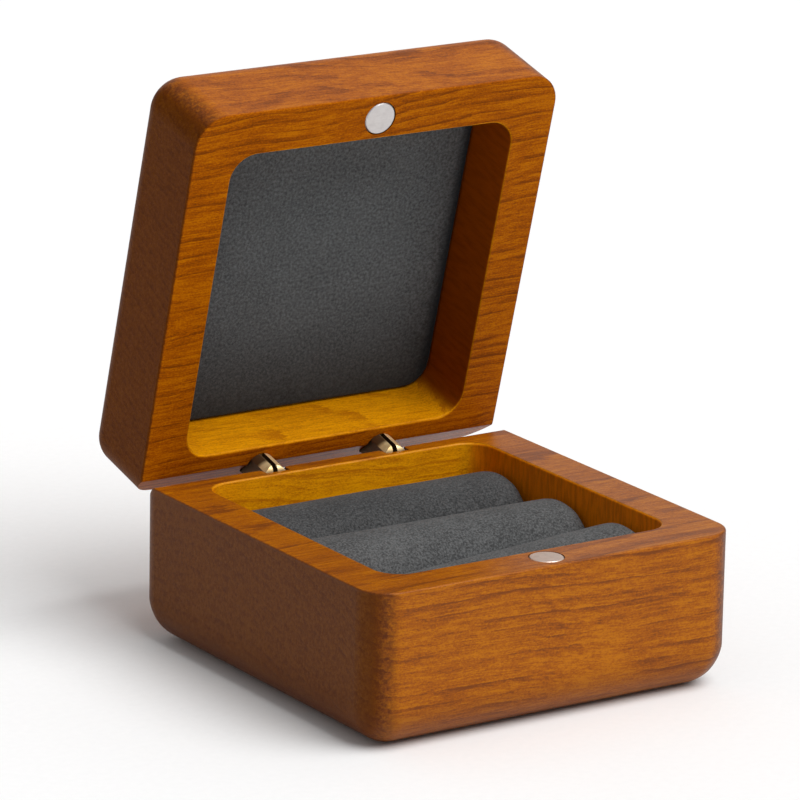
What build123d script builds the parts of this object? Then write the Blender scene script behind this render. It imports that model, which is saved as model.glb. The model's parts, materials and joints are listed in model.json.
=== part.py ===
"""Wooden ring box with a hinged lid, two knuckle hinges, a magnetic catch and three ring rolls.

Units are millimetres.  X runs along the hinges, -Y is the front, +Z is up, and the origin is the
middle of the flat underside.  The lid and everything on it is drawn shut, then turned open to the
angle at which the box is shown off.
"""
import os

from build123d import *

# Blocks of wood
width = 62.0
depth = 63.5
base_height = 23.4
lid_height = 15.4
rim_gap = 0.1  # between the two rims when shut
corner_radius = 4.9  # upright corners
base_edge_radius = 6.3  # round the underside
lid_edge_radius = 3.7  # round the top of the lid
eased_edge = 0.35  # sanded edges at the rims
rear_bevel = 4.2  # along the rim, at both rear rims
rear_bevel_drop = 3.8  # down the rear face

# Routed pockets
rim_width = 6.9
pocket_radius = 4.0
base_pocket_depth = 18.2
lid_pocket_depth = 11.4

# Hinges: 4.8 mm barrels sunk in the rear rims, lapped and pinned together
rest_opening = 75.0
hinge_spacing = 21.0
axis_from_back = 2.6
axis_below_rim = 2.0
barrel_diameter = 4.8
barrel_from_back = 3.3
barrel_hole_diameter = 4.9
fork_width = 3.5
fork_slot = 0.8
fork_slot_above_rim = 0.5
fork_reach = 4.2  # below the lid's rim
fork_rear_from_back = 1.6
fork_corner = 1.2
fork_top = 3.4  # above the lid's rim
lid_barrel_end = 9.2  # above the lid's rim
tongue_thickness = 0.65
tongue_radius = 1.15
base_barrel_top = 5.4  # below the base's rim
base_barrel_end = 13.0  # below the base's rim
relief_width = 4.0
relief_front_from_back = 5.95
relief_rear_from_back = 0.6
pin_diameter = 1.0
pin_running_clearance = 0.03

# Magnets
magnet_diameter = 5.0
magnet_thickness = 2.0
magnet_from_front = 3.65
magnet_hole_diameter = 5.2
magnet_edge = 0.15

# Ring rolls on their board
board_thickness = 0.8
insert_clearance = 0.2
roll_pitch = 16.0
roll_middle_from_back = 30.9
roll_half_width = 7.75
roll_half_height = 7.5
roll_centre_below_rim = 10.2
roll_length = 47.2
roll_end_radius = 3.0
cover_thickness = 0.5

# Lid pad
pad_thickness = 2.5
pad_clearance = 0.15
pad_edge_radius = 0.7
pad_suede = 0.5

# Places worked out from the sizes above
back_face = depth / 2
front_face = -depth / 2
lid_rim = base_height + rim_gap
pocket_width = width - 2 * rim_width
pocket_length = depth - 2 * rim_width
axis_y = back_face - axis_from_back
axis_z = base_height - axis_below_rim
barrel_y = back_face - barrel_from_back
relief_y = back_face - (relief_front_from_back + relief_rear_from_back) / 2
fork_rear_y = back_face - fork_rear_from_back
fork_front_y = barrel_y - barrel_diameter / 2
fork_slot_top = lid_rim + fork_slot_above_rim
magnet_y = front_face + magnet_from_front
hinge_places = {"left": -hinge_spacing / 2, "right": hinge_spacing / 2}
open_axis = Axis((0, axis_y, axis_z), (-1, 0, 0))
os.makedirs("parts", exist_ok=True)


def save(piece, name):
    """Label one finished piece and write its file."""
    piece.label = name
    export_step(piece, "parts/" + name + ".step")


def save_on_lid(piece, name):
    """Turn one piece of the shut lid open, then write it."""
    save(piece.rotate(open_axis, rest_opening), name)


def cut_rear_bevel(rim_z, drop):
    """Plane a bevel along the rear rim of the block being drawn; drop is signed, away from the rim."""
    with BuildSketch(Plane.YZ) as wedge:
        with BuildLine():
            Polyline(
                (back_face, rim_z),
                (back_face - rear_bevel, rim_z),
                (back_face, rim_z + drop),
                close=True,
            )
        make_face()
    extrude(wedge.sketch, amount=width, both=True, mode=Mode.SUBTRACT)


# Base: a block with rounded underside, a routed pocket, two hinge mortises and a magnet hole
with BuildPart() as base_body:
    Box(width, depth, base_height, align=(Align.CENTER, Align.CENTER, Align.MIN))
    fillet(base_body.faces().sort_by(Axis.Z)[0].edges(), radius=base_edge_radius)
    fillet(base_body.edges().filter_by(Axis.Z), radius=corner_radius)
    cut_rear_bevel(base_height, -rear_bevel_drop)
    with BuildSketch(Plane.XY.offset(base_height)):
        RectangleRounded(pocket_width, pocket_length, pocket_radius)
    extrude(amount=-base_pocket_depth, mode=Mode.SUBTRACT)
    fillet(base_body.faces().filter_by(Axis.Z).sort_by(Axis.Z)[-1].edges(), radius=eased_edge)
    with BuildSketch(Plane.XY.offset(base_height)):
        with Locations((0, magnet_y)):
            Circle(magnet_hole_diameter / 2)
    extrude(amount=-magnet_thickness, mode=Mode.SUBTRACT)
    with BuildSketch(Plane.XY.offset(base_height)):
        with Locations(*[(x, barrel_y) for x in hinge_places.values()]):
            Circle(barrel_hole_diameter / 2)
    extrude(amount=-base_barrel_end, mode=Mode.SUBTRACT)
    with BuildSketch(Plane.XY.offset(base_height)):
        with Locations(*[(x, relief_y) for x in hinge_places.values()]):
            Rectangle(relief_width, relief_front_from_back - relief_rear_from_back)
    extrude(amount=-base_barrel_top, mode=Mode.SUBTRACT)
save(base_body.part, "base_body")

# Lid: the same plan, rounded on top, routed from below
with BuildPart() as lid_body:
    with Locations((0, 0, lid_rim)):
        Box(width, depth, lid_height, align=(Align.CENTER, Align.CENTER, Align.MIN))
    fillet(lid_body.edges().filter_by(Axis.Z), radius=corner_radius)
    fillet(lid_body.faces().sort_by(Axis.Z)[-1].edges(), radius=lid_edge_radius)
    cut_rear_bevel(lid_rim, rear_bevel_drop)
    with BuildSketch(Plane.XY.offset(lid_rim)):
        RectangleRounded(pocket_width, pocket_length, pocket_radius)
    extrude(amount=lid_pocket_depth, mode=Mode.SUBTRACT)
    fillet(lid_body.faces().filter_by(Axis.Z).sort_by(Axis.Z)[0].edges(), radius=eased_edge)
    with BuildSketch(Plane.XY.offset(lid_rim)):
        with Locations((0, magnet_y)):
            Circle(magnet_hole_diameter / 2)
    extrude(amount=magnet_thickness, mode=Mode.SUBTRACT)
    with BuildSketch(Plane.XY.offset(lid_rim)):
        with Locations(*[(x, barrel_y) for x in hinge_places.values()]):
            Circle(barrel_hole_diameter / 2)
    extrude(amount=lid_barrel_end, mode=Mode.SUBTRACT)
save_on_lid(lid_body.part, "lid_body")

# Magnets of the catch, glued flush with the rims
with BuildPart() as base_magnet:
    with BuildSketch(Plane.XY.offset(base_height)):
        with Locations((0, magnet_y)):
            Circle(magnet_diameter / 2)
    extrude(amount=-magnet_thickness)
    chamfer(base_magnet.edges().group_by(Axis.Z)[-1], length=magnet_edge)
save(base_magnet.part, "base_magnet")

with BuildPart() as lid_magnet:
    with BuildSketch(Plane.XY.offset(lid_rim)):
        with Locations((0, magnet_y)):
            Circle(magnet_diameter / 2)
    extrude(amount=magnet_thickness)
    chamfer(lid_magnet.edges().group_by(Axis.Z)[0], length=magnet_edge)
save_on_lid(lid_magnet.part, "lid_magnet")

# Hinges: the lid's barrel ends in a fork, the base's barrel in a tongue, and a pin crosses both
for side, hinge_x in hinge_places.items():
    across = Plane.YZ.offset(hinge_x)

    with BuildPart() as lid_barrel:
        with BuildSketch(Plane.XY.offset(lid_rim - fork_reach)):
            with Locations((hinge_x, barrel_y)):
                Circle(barrel_diameter / 2)
        extrude(amount=fork_reach + fork_top)
        with BuildSketch(across) as fork_outline:
            with Locations(((fork_front_y + fork_rear_y) / 2, lid_rim - fork_reach)):
                Rectangle(
                    fork_rear_y - fork_front_y,
                    fork_reach + fork_top,
                    align=(Align.CENTER, Align.MIN),
                )
            fillet(fork_outline.vertices().group_by(Axis.Y)[0], radius=fork_corner)
        extrude(amount=fork_width / 2, both=True, mode=Mode.INTERSECT)
        with BuildSketch(Plane.XY.offset(lid_rim + fork_top)):
            with Locations((hinge_x, barrel_y)):
                Circle(barrel_diameter / 2)
        extrude(amount=lid_barrel_end - fork_top)
        with BuildSketch(across):
            with Locations((barrel_y, fork_slot_top)):
                Rectangle(
                    2 * barrel_diameter, 2 * fork_reach, align=(Align.CENTER, Align.MAX)
                )
        extrude(amount=fork_slot / 2, both=True, mode=Mode.SUBTRACT)
        with BuildSketch(across):
            with Locations((axis_y, axis_z)):
                Circle(pin_diameter / 2)
        extrude(amount=barrel_diameter, both=True, mode=Mode.SUBTRACT)
    save_on_lid(lid_barrel.part, "hinge_barrel_lid_" + side)

    with BuildPart() as base_barrel:
        with BuildSketch(Plane.XY.offset(base_height - base_barrel_top)):
            with Locations((hinge_x, barrel_y)):
                Circle(barrel_diameter / 2)
        extrude(amount=base_barrel_top - base_barrel_end)
        with BuildSketch(across):
            with Locations((axis_y, axis_z)):
                Circle(tongue_radius)
            with Locations((axis_y, (axis_z + base_height - base_barrel_top) / 2)):
                Rectangle(2 * tongue_radius, base_barrel_top - axis_below_rim)
        extrude(amount=tongue_thickness / 2, both=True)
        with BuildSketch(across):
            with Locations((axis_y, axis_z)):
                Circle(pin_diameter / 2 + pin_running_clearance)
        extrude(amount=barrel_diameter, both=True, mode=Mode.SUBTRACT)
    save(base_barrel.part, "hinge_barrel_base_" + side)

    with BuildPart() as hinge_pin:
        with BuildSketch(across):
            with Locations((axis_y, axis_z)):
                Circle(pin_diameter / 2)
        extrude(amount=fork_width / 2, both=True)
    save_on_lid(hinge_pin.part, "hinge_pin_" + side)

# Board in the bottom of the base's pocket
floor_z = base_height - base_pocket_depth
with BuildPart() as insert_board:
    with BuildSketch(Plane.XY.offset(floor_z)):
        RectangleRounded(
            pocket_width - 2 * insert_clearance,
            pocket_length - 2 * insert_clearance,
            pocket_radius - insert_clearance,
        )
    extrude(amount=board_thickness)
save(insert_board.part, "insert_board")

# Ring rolls: a foam core in a suede cover, glued to the board along a flat
roll_z = base_height - roll_centre_below_rim
board_top = floor_z + board_thickness
roll_bottom_trim = 2 * roll_half_height
for step, row in enumerate(("back", "middle", "front")):
    roll_y = back_face - roll_middle_from_back - (step - 1) * roll_pitch

    with BuildPart() as roll_core:
        with BuildSketch(Plane.YZ):
            with Locations((roll_y, roll_z)):
                Ellipse(roll_half_width - cover_thickness, roll_half_height - cover_thickness)
        extrude(amount=roll_length / 2 - cover_thickness, both=True)
        core_ends = roll_core.faces().filter_by(Axis.X)
        fillet(core_ends.edges(), radius=roll_end_radius - cover_thickness)
        with BuildSketch(Plane.YZ):
            with Locations((roll_y, board_top + cover_thickness - roll_half_height)):
                Rectangle(2 * roll_half_width, roll_bottom_trim)
        extrude(amount=roll_length, both=True, mode=Mode.SUBTRACT)
    save(roll_core.part, "roll_core_" + row)

    with BuildPart() as roll_cover:
        with BuildSketch(Plane.YZ):
            with Locations((roll_y, roll_z)):
                Ellipse(roll_half_width, roll_half_height)
        extrude(amount=roll_length / 2, both=True)
        fillet(roll_cover.faces().filter_by(Axis.X).edges(), radius=roll_end_radius)
        with BuildSketch(Plane.YZ):
            with Locations((roll_y, board_top - roll_half_height)):
                Rectangle(2 * roll_half_width, roll_bottom_trim)
        extrude(amount=roll_length, both=True, mode=Mode.SUBTRACT)
        add(roll_core.part, mode=Mode.SUBTRACT)
    save(roll_cover.part, "roll_cover_" + row)

# Lid pad: board and foam under a suede face
pad_width = pocket_width - 2 * pad_clearance
pad_length = pocket_length - 2 * pad_clearance
pad_radius = pocket_radius - pad_clearance
pad_ceiling = lid_rim + lid_pocket_depth
with BuildPart() as lid_pad_board:
    with BuildSketch(Plane.XY.offset(pad_ceiling)):
        RectangleRounded(
            pad_width - 2 * pad_suede, pad_length - 2 * pad_suede, pad_radius - pad_suede
        )
    extrude(amount=-board_thickness)
save_on_lid(lid_pad_board.part, "lid_pad_board")

with BuildPart() as lid_pad_foam:
    with BuildSketch(Plane.XY.offset(pad_ceiling - board_thickness)):
        RectangleRounded(
            pad_width - 2 * pad_suede, pad_length - 2 * pad_suede, pad_radius - pad_suede
        )
    extrude(amount=board_thickness + pad_suede - pad_thickness)
save_on_lid(lid_pad_foam.part, "lid_pad_foam")

with BuildPart() as lid_pad_suede:
    with BuildSketch(Plane.XY.offset(pad_ceiling)):
        RectangleRounded(pad_width, pad_length, pad_radius)
    extrude(amount=-pad_thickness)
    fillet(lid_pad_suede.faces().sort_by(Axis.Z)[0].edges(), radius=pad_edge_radius)
    with BuildSketch(Plane.XY.offset(pad_ceiling)):
        RectangleRounded(
            pad_width - 2 * pad_suede, pad_length - 2 * pad_suede, pad_radius - pad_suede
        )
    extrude(amount=pad_suede - pad_thickness, mode=Mode.SUBTRACT)
save_on_lid(lid_pad_suede.part, "lid_pad_suede")
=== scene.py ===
"""Looks of the wooden ring box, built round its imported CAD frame.

Everything is in metres and in the frame's own axes: X along the hinges, -Y is the front, +Z is up.
Pieces of the lid are drawn shut and then turned open about the hinge, as the CAD parts are.
"""

import json
import math
from collections import namedtuple

import bpy
from mathutils import Matrix, Vector, noise


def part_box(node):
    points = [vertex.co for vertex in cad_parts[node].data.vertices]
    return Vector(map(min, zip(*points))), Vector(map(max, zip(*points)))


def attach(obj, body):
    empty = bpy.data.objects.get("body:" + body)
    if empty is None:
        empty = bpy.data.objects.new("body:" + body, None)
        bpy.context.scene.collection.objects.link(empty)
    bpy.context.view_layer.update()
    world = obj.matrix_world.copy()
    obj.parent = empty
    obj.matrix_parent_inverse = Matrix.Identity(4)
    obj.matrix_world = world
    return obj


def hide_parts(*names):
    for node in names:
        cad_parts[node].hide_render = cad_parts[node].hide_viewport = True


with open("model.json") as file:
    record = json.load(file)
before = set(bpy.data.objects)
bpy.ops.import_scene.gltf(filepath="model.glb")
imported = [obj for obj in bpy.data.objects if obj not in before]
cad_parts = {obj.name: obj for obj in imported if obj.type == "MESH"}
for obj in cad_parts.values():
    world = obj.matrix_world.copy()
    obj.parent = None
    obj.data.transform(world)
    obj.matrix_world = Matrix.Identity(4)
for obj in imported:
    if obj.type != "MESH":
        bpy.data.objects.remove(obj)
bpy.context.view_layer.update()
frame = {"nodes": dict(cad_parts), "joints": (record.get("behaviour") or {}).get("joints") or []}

MM = 0.001
PER_MM = 1000.0  # turns metres into millimetres inside the materials

# Places worked out from the frame
HINGE = next(joint for joint in frame["joints"] if joint["name"] == "lid_hinge")
AXIS_POINT = Vector(HINGE["pos_m"])
OPENING = -math.radians(HINGE["range_deg"][0])  # how far the lid stands open at rest
_, BLOCK_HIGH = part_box("base_body")
_, BOARD_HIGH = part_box("insert_board")
PIN_LOW, PIN_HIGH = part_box("hinge_pin_right")
BOARD_CLEARANCE = 0.2 * MM

# The places that the materials use, in millimetres
POCKET_HALF_X = (BOARD_HIGH.x + BOARD_CLEARANCE) / MM
POCKET_HALF_Y = (BOARD_HIGH.y + BOARD_CLEARANCE) / MM
RIM_LEVEL = BLOCK_HIGH.z / MM
HINGE_X = (PIN_LOW.x + PIN_HIGH.x) / 2 / MM
FORK_TIP_TOP = (PIN_HIGH.z - 0.6 * MM) / MM  # above here the left prong is painted in shade; its tip below keeps the brass colour

# Camera
CAMERA_AZIMUTH = -33.61
CAMERA_ELEVATION = 15.93
CAMERA_ROLL = 1.16
CAMERA_DISTANCE = 0.8597
CAMERA_TARGET = Vector((0.01524, 0.03272, 0.02895))
CAMERA_LENS = 258.25
SENSOR_WIDTH = 36.0

# Light
KEY_AZIMUTH = 27.0  # degrees to the right of straight in front
KEY_ELEVATION = 57.0
KEY_STRENGTH = 2.55
KEY_SPREAD = 50.0  # degrees across, so that shadows are soft
SKY_BRIGHT_SIDE = Vector((0.45, 0.89, 0.0))  # the studio's white wall stands behind and to the right
SKY_DIM = 0.20
SKY_BRIGHT = 0.56
FLOOR_REACH = 6.0


def turned(angle, point):
    """A point of the shut lid, turned open about the hinge by an angle in radians."""
    return AXIS_POINT + Matrix.Rotation(-angle, 3, "X") @ (point - AXIS_POINT)


def shut_box(node):
    """Lowest and highest corner of a lid node, measured with the lid shut."""
    points = [turned(-OPENING, vertex.co) for vertex in frame["nodes"][node].data.vertices]
    low = Vector([min(point[axis] for point in points) for axis in range(3)])
    high = Vector([max(point[axis] for point in points) for axis in range(3)])
    return low, high


class Shader:
    """One material and short ways to add nodes to it."""

    def __init__(self, name):
        self.material = bpy.data.materials.new(name)
        self.material.use_nodes = True
        self.tree = self.material.node_tree
        self.surface = self.tree.nodes["Principled BSDF"]

    def feed(self, socket, value):
        """Join a socket to another, or set its own value."""
        if isinstance(value, bpy.types.NodeSocket):
            self.tree.links.new(value, socket)
        else:
            socket.default_value = value

    def node(self, kind, *inputs, **settings):
        made = self.tree.nodes.new("ShaderNode" + kind)
        for name, value in settings.items():
            setattr(made, name, value)
        for socket, value in zip(made.inputs, inputs):
            self.feed(socket, value)
        return made

    def math(self, operation, *inputs, clamp=False):
        return self.node("Math", *inputs, operation=operation, use_clamp=clamp).outputs[0]

    def vector(self, operation, *inputs):
        made = self.node("VectorMath", *inputs, operation=operation)
        return made.outputs["Value" if operation == "LENGTH" else "Vector"]

    def split(self, vector):
        return self.node("SeparateXYZ", vector).outputs

    def range(self, value, low, high, to_low=0.0, to_high=1.0, shape="SMOOTHSTEP"):
        made = self.node("MapRange", value, low, high, to_low, to_high)
        made.interpolation_type = shape
        return made.outputs[0]

    def noise(self, vector, scale=1.0, detail=3.0, roughness=0.5):
        made = self.node("TexNoise")
        self.feed(made.inputs["Vector"], vector)
        self.feed(made.inputs["Scale"], scale)
        self.feed(made.inputs["Detail"], detail)
        self.feed(made.inputs["Roughness"], roughness)
        return made.outputs[0]

    def streaks(self, place, fineness, detail=3.0, roughness=0.5):
        """Noise that is stretched wherever its fineness along X, Y or Z is small."""
        return self.noise(self.vector("MULTIPLY", place, fineness), detail=detail, roughness=roughness)

    def cells(self, place, fineness):
        """Distance to the nearest of many scattered points."""
        made = self.node("TexVoronoi")
        self.feed(made.inputs["Vector"], self.vector("MULTIPLY", place, fineness))
        self.feed(made.inputs["Scale"], 1.0)
        return made.outputs["Distance"]

    def sway(self, value, pattern, amount):
        """Move a value up and down with a pattern whose middle is 0.5."""
        return self.math("MULTIPLY_ADD", self.math("SUBTRACT", pattern, 0.5), amount, value)

    def product(self, *values):
        """All the values multiplied together."""
        result, *others = values
        for value in others:
            result = self.math("MULTIPLY", result, value)
        return result

    def ramp(self, value, stops):
        made = self.node("ValToRGB", value)
        elements = made.color_ramp.elements
        while len(elements) < len(stops):
            elements.new(1.0)
        for element, (place, colour) in zip(elements, stops):
            element.position = place
            element.color = (*colour, 1.0)
        return made.outputs[0]

    def mix(self, factor, first, second, blend="MIX"):
        made = self.node("Mix", data_type="RGBA", blend_type=blend)
        self.feed(made.inputs[0], factor)
        for socket, value in ((made.inputs[6], first), (made.inputs[7], second)):
            self.feed(socket, (*value, 1.0) if isinstance(value, tuple) else value)
        return made.outputs[2]

    def bump(self, height, distance, strength=1.0):
        made = self.node("Bump")
        self.feed(made.inputs["Strength"], strength)
        self.feed(made.inputs["Distance"], distance)
        self.feed(made.inputs["Height"], height)
        return made.outputs[0]

    def millimetres(self, on_lid=False):
        """The place on the piece in millimetres, measured with the lid shut."""
        place = self.node("TexCoord").outputs["Object"]
        if on_lid:
            shut = self.node("VectorRotate", rotation_type="X_AXIS")
            self.feed(shut.inputs["Vector"], place)
            self.feed(shut.inputs["Center"], AXIS_POINT)
            self.feed(shut.inputs["Angle"], OPENING)
            place = shut.outputs[0]
        return self.vector("MULTIPLY", place, (PER_MM, PER_MM, PER_MM))

    def finish(self, **inputs):
        """Set the surface's inputs by name, with _ for a space."""
        for name, value in inputs.items():
            self.feed(self.surface.inputs[name.replace("_", " ")], value)
        return self.material


# Wood
Board = namedtuple(
    "Board",
    "pith ring_width dark middle light end end_fleck pocket_end end_gloss rim_gloss"
    " pocket_depth on_lid",
)
BASE_BOARD = Board(
    pith=(18.0, -95.0),  # the tree's centre line, in millimetres of Y and Z
    ring_width=1.7,
    dark=(0.190, 0.048, 0.005),
    middle=(0.340, 0.088, 0.002),
    light=(0.480, 0.152, 0.001),
    end=(0.078, 0.022, 0.004),
    end_fleck=(0.112, 0.036, 0.007),
    pocket_end=(0.900, 0.245, 0.001),
    end_gloss=0.05,
    rim_gloss=0.17,
    pocket_depth=18.2,  # millimetres
    on_lid=False,
)
LID_BOARD = Board(
    pith=(-120.0, 10.0),
    ring_width=1.4,
    dark=(0.200, 0.046, 0.002),
    middle=(0.365, 0.086, 0.001),
    light=(0.520, 0.155, 0.001),
    end=(0.062, 0.016, 0.002),
    end_fleck=(0.088, 0.025, 0.004),
    pocket_end=(0.260, 0.052, 0.001),
    end_gloss=0.015,
    rim_gloss=0.02,
    pocket_depth=11.4,
    on_lid=True,
)
# dark of the pores, flecks and cut marks, also used for the painted shade near the floor
WOOD_PORE_AND_SHADE = (0.085, 0.018, 0.002)
WOOD_POCKET = (0.860, 0.345, 0.001)
WOOD_POCKET_STREAK = (0.520, 0.165, 0.001)
GRAIN_SLOPE = 0.05
GRAIN_WANDER = 5.0  # millimetres
SIDE_GLOSS = 0.14
POCKET_CORNER = 4.0  # millimetres
POCKET_TOP_EDGE = 0.4  # millimetres from the rim to where a pocket's wall begins
PAINTED_FLOOR_SHADE_HEIGHT = 9.0  # millimetres up from the bottom over which the wood is painted darker, painted shade near the floor
GRAIN_RELIEF = 0.04 * MM

# How fine the patterns of the wood are along X, Y and Z; the grain runs along X
WANDER = (0.030, 0.04, 0.04)
RING_EDGES = (0.10, 1.6, 1.6)
RING_STRENGTH = (0.04, 0.50, 0.50)
FIBRES = (0.15, 3.9, 3.9)
PAINTED_SHEEN_FINENESS = (0.20, 1.5, 1.5)
GRIT = (2.8, 4.8, 4.8)
PORES = (0.75, 3.4, 3.4)
CUT_MARKS = (2.0, 1.6, 0.25)


def inside_pocket(s, x, y, z, depth):
    """1 on the walls and floor of a pocket of that depth and 0 elsewhere, all in millimetres."""
    over_x = s.math("SUBTRACT", s.math("ABSOLUTE", x), POCKET_HALF_X - POCKET_CORNER)
    over_y = s.math("SUBTRACT", s.math("ABSOLUTE", y), POCKET_HALF_Y - POCKET_CORNER)
    corner = s.node("CombineXYZ", s.math("MAXIMUM", over_x, 0.0), s.math("MAXIMUM", over_y, 0.0), 0.0)
    beyond = s.vector("LENGTH", corner.outputs[0])
    within = s.range(beyond, POCKET_CORNER + 0.05, POCKET_CORNER + 0.35, 1.0, 0.0)
    from_rim = s.math("ABSOLUTE", s.math("SUBTRACT", z, RIM_LEVEL))
    return s.product(within, s.range(from_rim, depth + 0.5, depth + 1.0, 1.0, 0.0))


def follow_grain(s, place, x):
    """The place shifted so that straight streaks sink a little towards +X and wander."""
    wander = s.streaks(place, WANDER, detail=2.0)
    lift = s.math("MULTIPLY_ADD", x, GRAIN_SLOPE, s.product(wander, GRAIN_WANDER))
    return s.vector("ADD", place, s.node("CombineXYZ", 0.0, lift, lift).outputs[0])


def growth_rings(s, along, board):
    """Dark late wood of the rings round the pith, ragged and stronger in some places."""
    _, ring_y, ring_z = s.split(along)
    ring_y = s.math("SUBTRACT", ring_y, board.pith[0])
    ring_z = s.math("SUBTRACT", ring_z, board.pith[1])
    radius = s.vector("LENGTH", s.node("CombineXYZ", 0.0, ring_y, ring_z).outputs[0])
    ragged = s.streaks(along, RING_EDGES, detail=5.0, roughness=0.6)
    turns = s.math("MULTIPLY_ADD", ragged, 0.60, s.math("DIVIDE", radius, board.ring_width))
    late_wood = s.math("POWER", s.math("FRACT", turns), 2.0)
    strength = s.streaks(along, RING_STRENGTH, detail=2.0)
    return s.product(late_wood, s.range(strength, 0.40, 0.62, 0.1, 1.0))


def stained_end(s, place, colour, blotches, pocket, board):
    """End grain, which takes more stain outside and shows the cutter's marks in the pockets."""
    outside = s.mix(s.range(blotches, 0.36, 0.66), board.end, board.end_fleck)
    outside = s.mix(0.85, colour, outside)
    cut_marks = s.streaks(place, CUT_MARKS, detail=5.0, roughness=0.62)
    inside = s.mix(s.range(cut_marks, 0.38, 0.68, 0.0, 0.30), board.pocket_end, WOOD_PORE_AND_SHADE)
    return s.mix(pocket, outside, inside)


def make_wood(name, board):
    """Lacquered hardwood with its grain along X."""
    s = Shader(name)
    place = s.millimetres(board.on_lid)
    x, y, z = s.split(place)
    pocket = inside_pocket(s, x, y, z, board.pocket_depth)
    along = follow_grain(s, place, x)
    late_wood = growth_rings(s, along, board)

    # fibres and pores, and streaks of painted sheen
    fibres = s.streaks(along, FIBRES, detail=5.0, roughness=0.66)
    painted_sheen = s.streaks(along, PAINTED_SHEEN_FINENESS, detail=3.0, roughness=0.6)
    grit = s.streaks(place, GRIT, detail=2.0, roughness=0.7)
    blotches = s.noise(place, scale=1.7, detail=3.0, roughness=0.6)
    pores = s.range(s.cells(along, PORES), 0.08, 0.20, 1.0, 0.0)
    stain = s.noise(place, scale=0.09, detail=2.0)

    # where the faces turn to end grain, and the blotched corners between the two
    facing_x = s.math("ABSOLUTE", s.split(s.node("NewGeometry").outputs["Normal"])[0])
    end_grain = s.range(facing_x, 0.40, 0.86)
    turning = s.product(s.range(facing_x, 0.08, 0.5), s.range(facing_x, 0.65, 0.97, 1.0, 0.0))
    outer_corner = s.product(turning, s.math("SUBTRACT", 1.0, pocket))
    flecks = s.product(outer_corner, s.range(blotches, 0.36, 0.66, 0.42, 1.0))

    # colour
    tone = s.sway(0.58, fibres, 1.15)
    # painted sheen: lighter and darker streaks that stand in for the wood's shimmer
    tone = s.sway(tone, painted_sheen, 0.70)
    tone = s.sway(tone, grit, 1.00)
    tone = s.sway(tone, stain, 0.40)
    tone = s.math("MULTIPLY_ADD", late_wood, -0.44, tone)
    colour = s.ramp(tone, ((0.14, board.dark), (0.47, board.middle), (0.80, board.light)))
    golden = s.ramp(tone, ((0.20, WOOD_POCKET_STREAK), (0.75, WOOD_POCKET)))
    colour = s.mix(pocket, colour, golden)
    colour = s.mix(end_grain, colour, stained_end(s, place, colour, blotches, pocket, board))
    colour = s.mix(s.product(flecks, 0.80), colour, WOOD_PORE_AND_SHADE)
    colour = s.mix(s.product(pores, 0.35), colour, WOOD_PORE_AND_SHADE)
    # painted shade: darker towards the floor
    colour = s.mix(s.range(z, 0.0, PAINTED_FLOOR_SHADE_HEIGHT, 0.5, 0.0), colour, WOOD_PORE_AND_SHADE)

    # satin lacquer that has sunk a little into the grain, rubbed thinner on the end grain
    relief = s.math("MULTIPLY_ADD", fibres, 0.8, s.product(grit, 0.5))
    relief = s.math("MULTIPLY_ADD", pores, -0.4, relief)
    relief = s.math("MULTIPLY_ADD", flecks, -0.5, relief)
    gloss = s.range(end_grain, 0.0, 1.0, SIDE_GLOSS, board.end_gloss)
    from_rim = s.math("ABSOLUTE", s.math("SUBTRACT", z, RIM_LEVEL))
    on_rim = s.range(from_rim, 0.2, POCKET_TOP_EDGE, 1.0, 0.0)
    return s.finish(
        Base_Color=colour,
        Roughness=s.range(fibres, 0.2, 0.8, 0.42, 0.30),
        Specular_IOR_Level=s.range(on_rim, 0.0, 1.0, gloss, board.rim_gloss, shape="LINEAR"),
        Normal=s.bump(relief, GRAIN_RELIEF, strength=0.8),
    )


# Suede
# bluish dark of the painted shade on the pad's edges
PAINTED_SHADE_COLOUR = (0.007, 0.012, 0.016)
PAD_GREY = (0.104, 0.112, 0.116)
NAP_RELIEF = 0.14 * MM


def make_suede(name, colour, on_lid, grain, contrast, patchiness, shade=None):
    """Short-napped suede with a soft sheen. grain is the size of its grains in millimetres.

    shade, when given, takes the shader and the place and returns how much of its colour the nap keeps;
    the rest is painted shade.
    """
    s = Shader(name)
    place = s.millimetres(on_lid)
    nap = s.noise(place, scale=1.0 / grain, detail=3.0, roughness=0.62)
    fuzz = s.noise(place, scale=6.0, detail=3.0, roughness=0.7)
    brushed = s.noise(place, scale=0.16, detail=2.0)
    tone = s.sway(0.5, nap, contrast)
    tone = s.sway(tone, fuzz, 0.9)
    tone = s.sway(tone, brushed, patchiness)
    dark = tuple(channel * 0.50 for channel in colour)
    light = tuple(channel * 1.60 for channel in colour)
    nap_colour = s.ramp(tone, ((0.05, dark), (0.50, colour), (0.95, light)))
    if shade:
        # painted shade towards the pad's edges
        nap_colour = s.mix(shade(s, place), PAINTED_SHADE_COLOUR, nap_colour)
    height = s.math("MULTIPLY_ADD", nap, 0.6, s.product(fuzz, 0.4))
    return s.finish(
        Base_Color=nap_colour,
        Roughness=0.92,
        Specular_IOR_Level=0.12,
        Sheen_Weight=0.10,
        Sheen_Roughness=0.5,
        Normal=s.bump(height, NAP_RELIEF, strength=0.9),
    )


def painted_pad_shade(s, place):
    """Painted shade: the nap is painted dark along the pad's front, rear and right-hand edges."""
    x, y, _ = s.split(place)
    to_right = s.math("SUBTRACT", POCKET_HALF_X, x)
    to_rear = s.math("SUBTRACT", POCKET_HALF_Y, y)
    to_front = s.math("ADD", POCKET_HALF_Y, y)
    right = s.range(to_right, 0.2, 3.2)
    rear = s.range(to_rear, -9.0, 22.0)
    front = s.range(to_front, -1.5, 5.5)
    return s.product(rear, front, right)


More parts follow.
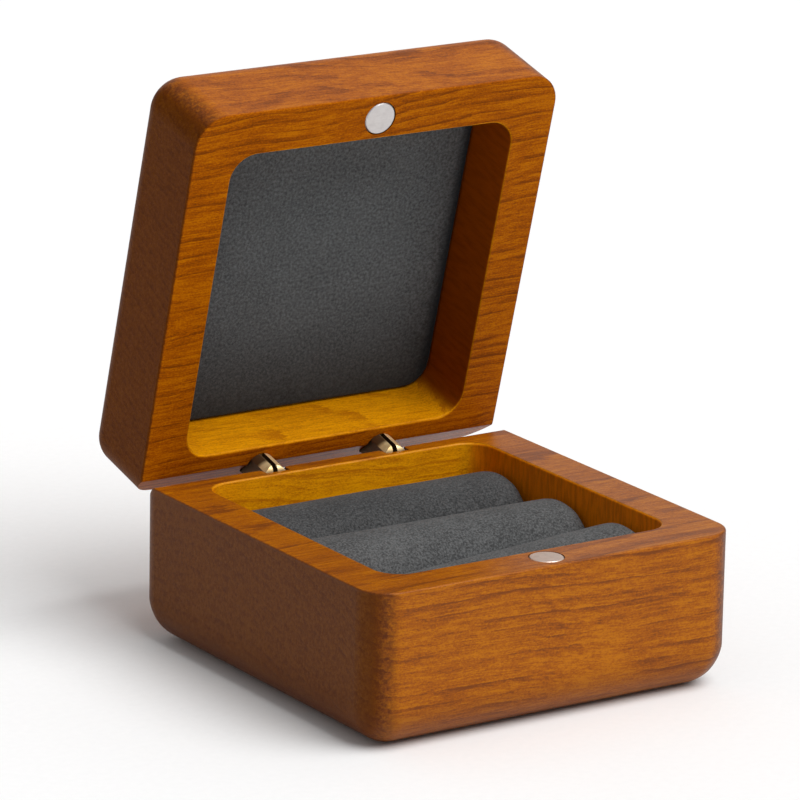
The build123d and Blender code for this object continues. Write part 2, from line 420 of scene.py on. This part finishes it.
# Metal, by the body that each piece is on where the two differ; the nickel differs as painted
# reflection, brighter and warmer on the base magnet than on the lid magnet
NICKEL_WITH_PAINTED_LIGHT = {"base": (0.930, 0.770, 0.670), "lid": (0.680, 0.655, 0.645)}
NICKEL_WORN_WITH_PAINTED_LIGHT = {"base": (0.850, 0.700, 0.610), "lid": (0.645, 0.620, 0.610)}
BRASS = (1.00, 0.76, 0.41)
BRASS_WORN = (0.85, 0.60, 0.28)
BRASS_DARK_SIDES_AND_SHADE = (0.115, 0.060, 0.025)
SCRATCHES = (1.2, 9.0, 9.0)
SCRATCH_RELIEF = 0.012 * MM


def hinge_dark_sides_and_shade(s, place):
    """1 where the brass is darker: on its sides, and on the left prong above its tip, where the dark is
    painted shade.
    """
    x, _, z = s.split(place)
    facing_x = s.math("ABSOLUTE", s.split(s.node("NewGeometry").outputs["Normal"])[0])
    sides = s.range(facing_x, 0.74, 0.90)
    hinge_x = s.product(s.math("SIGN", x), HINGE_X)
    # painted shade on the left prong above its tip
    left_prong = s.range(s.math("SUBTRACT", x, hinge_x), -0.5, -0.3, 1.0, 0.0)
    above_tip = s.range(z, FORK_TIP_TOP - 0.4, FORK_TIP_TOP + 0.6)
    return s.math("MAXIMUM", sides, s.product(left_prong, above_tip))


def make_metal(name, colour, worn, on_lid, roughness, metallic=1.0, side_and_shade_colour=None):
    """Plated metal with fine scratches, slightly duller patches, and perhaps darker sides and painted
    shade.
    """
    s = Shader(name)
    place = s.millimetres(on_lid)
    scratches = s.streaks(place, SCRATCHES, detail=5.0, roughness=0.7)
    patches = s.noise(place, scale=0.9, detail=3.0)
    plating = s.mix(s.range(patches, 0.40, 0.70), colour, worn)
    if side_and_shade_colour:
        plating = s.mix(hinge_dark_sides_and_shade(s, place), plating, side_and_shade_colour)
    return s.finish(
        Base_Color=plating,
        Metallic=metallic,
        Roughness=s.range(scratches, 0.3, 0.7, roughness * 0.75, roughness * 1.4),
        Normal=s.bump(scratches, SCRATCH_RELIEF, strength=0.5),
    )


# Boards and floor
CARD_DARK = (0.020, 0.020, 0.021)
CARD_LIGHT = (0.050, 0.049, 0.048)
CARD_RELIEF = 0.05 * MM
PAPER_DARK = (0.955, 0.955, 0.955)
PAPER_LIGHT = (0.975, 0.975, 0.975)


def make_card(name):
    """Black board with a paper tooth."""
    s = Shader(name)
    place = s.millimetres()
    tooth = s.noise(place, scale=4.0, detail=4.0, roughness=0.7)
    return s.finish(
        Base_Color=s.ramp(tooth, ((0.35, CARD_DARK), (0.70, CARD_LIGHT))),
        Roughness=0.85,
        Normal=s.bump(tooth, CARD_RELIEF, strength=0.5),
    )


def make_floor_paper(name):
    """Matt white studio paper, seen from above only."""
    s = Shader(name)
    place = s.millimetres()
    tooth = s.noise(place, scale=0.8, detail=3.0)
    s.finish(
        Base_Color=s.ramp(tooth, ((0.3, PAPER_DARK), (0.7, PAPER_LIGHT))),
        Roughness=0.9,
        Specular_IOR_Level=0.1,
    )
    clear = s.node("BsdfTransparent")
    sides = s.node("MixShader", s.node("NewGeometry").outputs["Backfacing"])
    s.feed(sides.inputs[1], s.surface.outputs[0])
    s.feed(sides.inputs[2], clear.outputs[0])
    s.feed(s.tree.nodes["Material Output"].inputs["Surface"], sides.outputs[0])
    return s.material


def paint(node, material):
    """Give a CAD node its material."""
    piece = frame["nodes"][node]
    piece.data.materials.clear()
    piece.data.materials.append(material)


def make_mesh(name, points, faces, material, body):
    """A smooth new piece that rides on a body."""
    mesh = bpy.data.meshes.new(name)
    mesh.from_pydata([tuple(point) for point in points], [], faces)
    mesh.validate()
    mesh.polygons.foreach_set("use_smooth", [True] * len(mesh.polygons))
    mesh.materials.append(material)
    piece = bpy.data.objects.new(name, mesh)
    bpy.context.scene.collection.objects.link(piece)
    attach(piece, body)
    return piece


# Ring rolls
ROLL_STATIONS = 120  # rings of points along a roll
ROLL_SIDES = 72
ROLL_SQUARENESS = 2.15  # 2 is a plain ellipse
ROLL_FLATNESS = 0.968  # height over width
END_ROUNDING = 2.5 * MM
END_SWELL = 0.35 * MM  # the suede's fullness at both ends
SOFTNESS = 0.010  # unevenness, as a share of the roll's size
SOFT_FINENESS = (90, 1.3)  # along the roll, per metre, and round it, per radian
PUCKERS = 13  # round each end
PUCKER_DEPTH = 0.006  # as a share of the roll's size
PUCKER_LENGTH = 2.5 * MM
SQUASH_MIDDLE = 0.36  # share of the squash that the roll's middle takes
SQUASH_TILT = 0.64  # more than that at the left end, and less at the right end
# the rows' suede colours carry painted light and shade: the back roll is painted darker and the middle
# and front rolls lighter, for how the light falls on each row
ROLLS = {
    "back": {"colour": (0.063, 0.064, 0.065), "seed": 0.0, "squash": 0.0},
    "middle": {"colour": (0.090, 0.092, 0.093), "seed": 7.0, "squash": 0.0},
    "front": {"colour": (0.094, 0.096, 0.097), "seed": 14.0, "squash": 0.16},
}


def roll_section(angle, half_width, half_height):
    """A point of the roll's slightly squared oval."""
    power = 2.0 / ROLL_SQUARENESS
    across = math.copysign(abs(math.cos(angle)) ** power, math.cos(angle))
    upward = math.copysign(abs(math.sin(angle)) ** power, math.sin(angle))
    return half_width * across, half_height * upward


def build_roll(row, material, seed, squash):
    """A foam roll in suede: oval, rounded ends, resting on a flat, with small soft unevenness.

    squash lowers the left end by that share of its height and lets the right end stand up a little.
    """
    low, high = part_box("roll_cover_" + row)
    centre_y = (low.y + high.y) / 2
    half_width = (high.y - low.y) / 2
    half_height = half_width * ROLL_FLATNESS
    centre_z = high.z - half_height
    half_length = (high.x - low.x) / 2 + END_SWELL
    points, faces = [], []
    for station in range(ROLL_STATIONS + 1):
        sweep = -math.cos(math.pi * station / ROLL_STATIONS)
        x = half_length * sweep
        to_end = half_length - abs(x)
        inset = max(0.0, END_ROUNDING - to_end)
        shrink = END_ROUNDING - math.sqrt(max(0.0, END_ROUNDING**2 - inset**2))
        for side in range(ROLL_SIDES):
            angle = 2 * math.pi * side / ROLL_SIDES
            y, z = roll_section(angle, half_width - shrink, half_height - shrink)
            soft = noise.noise(Vector((x * SOFT_FINENESS[0], angle * SOFT_FINENESS[1], seed)))
            pucker = math.sin(angle * PUCKERS + seed) * math.exp(-to_end / PUCKER_LENGTH)
            swell = 1.0 + SOFTNESS * soft + PUCKER_DEPTH * pucker
            point = Vector((x, centre_y + y * swell, centre_z + z * swell))
            point.z = max(point.z, low.z)
            share = SQUASH_MIDDLE - SQUASH_TILT * x / half_length
            point.z -= (point.z - low.z) * squash * share
            points.append(point)
    for station in range(ROLL_STATIONS):
        for side in range(ROLL_SIDES):
            after = (side + 1) % ROLL_SIDES
            start, end = station * ROLL_SIDES, (station + 1) * ROLL_SIDES
            faces.append((start + side, start + after, end + after, end + side))
    last = ROLL_STATIONS * ROLL_SIDES
    faces.append(tuple(reversed(range(ROLL_SIDES))))
    faces.append(tuple(range(last, last + ROLL_SIDES)))
    piece = make_mesh("ring_roll_" + row, points, faces, material, "base")
    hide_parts("roll_cover_" + row, "roll_core_" + row)
    return piece


# Lid pad
PAD_RINGS = 44
PAD_SIDES = 160
PAD_CORNER = 3.85 * MM
PAD_EDGE = 0.75 * MM
PAD_CROWN = 0.35 * MM
PAD_CROWN_POWER = 6  # the higher, the wider the flat middle
PAD_WAVE = 0.05 * MM
PAD_WAVE_FINENESS = 110  # per metre
PAD_WAVE_SEED = 3.0
PAD_WAVE_POWER = 8  # the higher, the closer to the edge the waves reach


def rounded_outline(angle, half_x, half_y, corner):
    """Where a ray from the middle meets a rectangle with rounded corners."""
    along = Vector((math.cos(angle), math.sin(angle)))
    low, high = 0.0, half_x + half_y
    for _ in range(40):
        reach = (low + high) / 2
        over_x = abs(along.x * reach) - (half_x - corner)
        over_y = abs(along.y * reach) - (half_y - corner)
        outside = math.hypot(max(over_x, 0.0), max(over_y, 0.0)) + min(max(over_x, over_y), 0.0)
        if outside > corner:
            high = reach
        else:
            low = reach
    return along * low


def build_lid_pad(material):
    """The lid's thin pad: suede over foam, crowned, with its edge drawn in all round."""
    low, high = shut_box("lid_pad_suede")
    half_x = (high.x - low.x) / 2
    half_y = (high.y - low.y) / 2
    thickness = high.z - low.z
    middle = Vector(((low.x + high.x) / 2, (low.y + high.y) / 2, 0.0))
    outline = [
        rounded_outline(2 * math.pi * side / PAD_SIDES, half_x, half_y, PAD_CORNER)
        for side in range(PAD_SIDES)
    ]
    points, faces = [], []
    points.append(turned(OPENING, middle + Vector((0, 0, low.z))))
    for ring in range(1, PAD_RINGS + 1):
        share = math.sin(math.pi / 2 * ring / PAD_RINGS)
        for edge in outline:
            inside = edge.length * (1 - share)
            drop = max(0.0, PAD_EDGE - inside)
            rounding = PAD_EDGE - math.sqrt(max(0.0, PAD_EDGE**2 - drop**2))
            crown = PAD_CROWN * share**PAD_CROWN_POWER
            fine_x = edge.x * share * PAD_WAVE_FINENESS
            fine_y = edge.y * share * PAD_WAVE_FINENESS
            wave = PAD_WAVE * noise.noise(Vector((fine_x, fine_y, PAD_WAVE_SEED)))
            z = low.z + rounding + crown + wave * (1 - share**PAD_WAVE_POWER)
            flat = edge * share
            points.append(turned(OPENING, Vector((middle.x + flat.x, middle.y + flat.y, z))))
    for edge in outline:
        back = Vector((middle.x + edge.x, middle.y + edge.y, low.z + thickness))
        points.append(turned(OPENING, back))
    for side in range(PAD_SIDES):
        faces.append((0, 1 + (side + 1) % PAD_SIDES, 1 + side))
    for ring in range(PAD_RINGS):
        for side in range(PAD_SIDES):
            after = (side + 1) % PAD_SIDES
            inner, outer = 1 + ring * PAD_SIDES, 1 + (ring + 1) * PAD_SIDES
            faces.append((inner + side, inner + after, outer + after, outer + side))
    last = 1 + PAD_RINGS * PAD_SIDES
    faces.append(tuple(range(last, last + PAD_SIDES)))
    piece = make_mesh("lid_pad", points, faces, material, "lid")
    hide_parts("lid_pad_suede", "lid_pad_foam")
    return piece


def build_floor():
    """A wide pale floor under the box."""
    corners = [(x * FLOOR_REACH, y * FLOOR_REACH, 0.0) for x, y in ((-1, -1), (1, -1), (1, 1), (-1, 1))]
    mesh = bpy.data.meshes.new("floor")
    mesh.from_pydata(corners, [], [(0, 1, 2, 3)])
    mesh.materials.append(make_floor_paper("floor_paper"))
    floor = bpy.data.objects.new("floor", mesh)
    bpy.context.scene.collection.objects.link(floor)


def direction(azimuth, elevation):
    """Unit vector from the box towards that azimuth (0 is the front) and elevation, in degrees."""
    a, e = math.radians(azimuth), math.radians(elevation)
    return Vector((math.sin(a) * math.cos(e), -math.cos(a) * math.cos(e), math.sin(e)))


def build_lights():
    """A broad soft key from the front right, and a sky that is brighter behind and to the right."""
    key = bpy.data.lights.new("key", "SUN")
    key.energy = KEY_STRENGTH
    key.angle = math.radians(KEY_SPREAD)
    lamp = bpy.data.objects.new("key", key)
    lamp.rotation_euler = direction(KEY_AZIMUTH, KEY_ELEVATION).to_track_quat("Z", "Y").to_euler()
    bpy.context.scene.collection.objects.link(lamp)
    world = bpy.data.worlds.new("studio")
    world.use_nodes = True
    nodes, links = world.node_tree.nodes, world.node_tree.links
    place = nodes.new("ShaderNodeTexCoord")
    towards = nodes.new("ShaderNodeVectorMath")
    towards.operation = "DOT_PRODUCT"
    towards.inputs[1].default_value = SKY_BRIGHT_SIDE
    strength = nodes.new("ShaderNodeMapRange")
    strength.inputs["From Min"].default_value = -1.0
    strength.inputs["To Min"].default_value = SKY_DIM
    strength.inputs["To Max"].default_value = SKY_BRIGHT
    sky = nodes["Background"]
    sky.inputs["Color"].default_value = (1.0, 1.0, 1.0, 1.0)
    links.new(place.outputs["Generated"], towards.inputs[0])
    links.new(towards.outputs["Value"], strength.inputs["Value"])
    links.new(strength.outputs["Result"], sky.inputs["Strength"])
    bpy.context.scene.world = world


def build_camera():
    """A long lens, a little above the box and to its left."""
    data = bpy.data.cameras.new("camera")
    data.lens = CAMERA_LENS
    data.sensor_width = SENSOR_WIDTH
    data.clip_start = 0.01
    camera = bpy.data.objects.new("camera", data)
    back = direction(CAMERA_AZIMUTH, CAMERA_ELEVATION)
    camera.rotation_mode = "QUATERNION"
    level = (-back).to_track_quat("-Z", "Y")
    tilt = Matrix.Rotation(math.radians(CAMERA_ROLL), 3, "Z").to_quaternion()
    camera.rotation_quaternion = level @ tilt
    camera.location = CAMERA_TARGET + back * CAMERA_DISTANCE
    bpy.context.scene.collection.objects.link(camera)
    bpy.context.scene.camera = camera


def paint_metal():
    """Nickel magnets, and brass hinges with their pins."""
    for body in ("base", "lid"):
        on_lid = body == "lid"
        nickel = make_metal("nickel_" + body, NICKEL_WITH_PAINTED_LIGHT[body], NICKEL_WORN_WITH_PAINTED_LIGHT[body], on_lid, roughness=0.42)
        paint(body + "_magnet", nickel)
        name = "brass_" + body
        brass = make_metal(
            name, BRASS, BRASS_WORN, on_lid, roughness=0.45, metallic=0.7, side_and_shade_colour=BRASS_DARK_SIDES_AND_SHADE
        )
        for side in ("left", "right"):
            paint("hinge_barrel_" + body + "_" + side, brass)
    pin_brass = make_metal("brass_pin", BRASS_WORN, BRASS, on_lid=True, roughness=0.30)
    for side in ("left", "right"):
        paint("hinge_pin_" + side, pin_brass)


def paint_boards():
    """The boards under the rolls and behind the pad."""
    card = make_card("black_card")
    paint("insert_board", card)
    paint("lid_pad_board", card)


def build_soft_pieces():
    """The ring rolls, back to front, and the lid's pad."""
    for row, look in ROLLS.items():
        name = "suede_roll_" + row
        suede = make_suede(name, look["colour"], False, grain=0.31, contrast=2.9, patchiness=0.6)
        build_roll(row, suede, look["seed"], look["squash"])
    pad_suede = make_suede(
        "suede_pad", PAD_GREY, True, grain=0.45, contrast=2.0, patchiness=0.3, shade=painted_pad_shade
    )
    build_lid_pad(pad_suede)


paint("base_body", make_wood("wood_base", BASE_BOARD))
paint("lid_body", make_wood("wood_lid", LID_BOARD))
paint_metal()
paint_boards()
build_soft_pieces()

build_floor()
build_lights()
build_camera()
bpy.context.scene.view_settings.view_transform = "Standard"
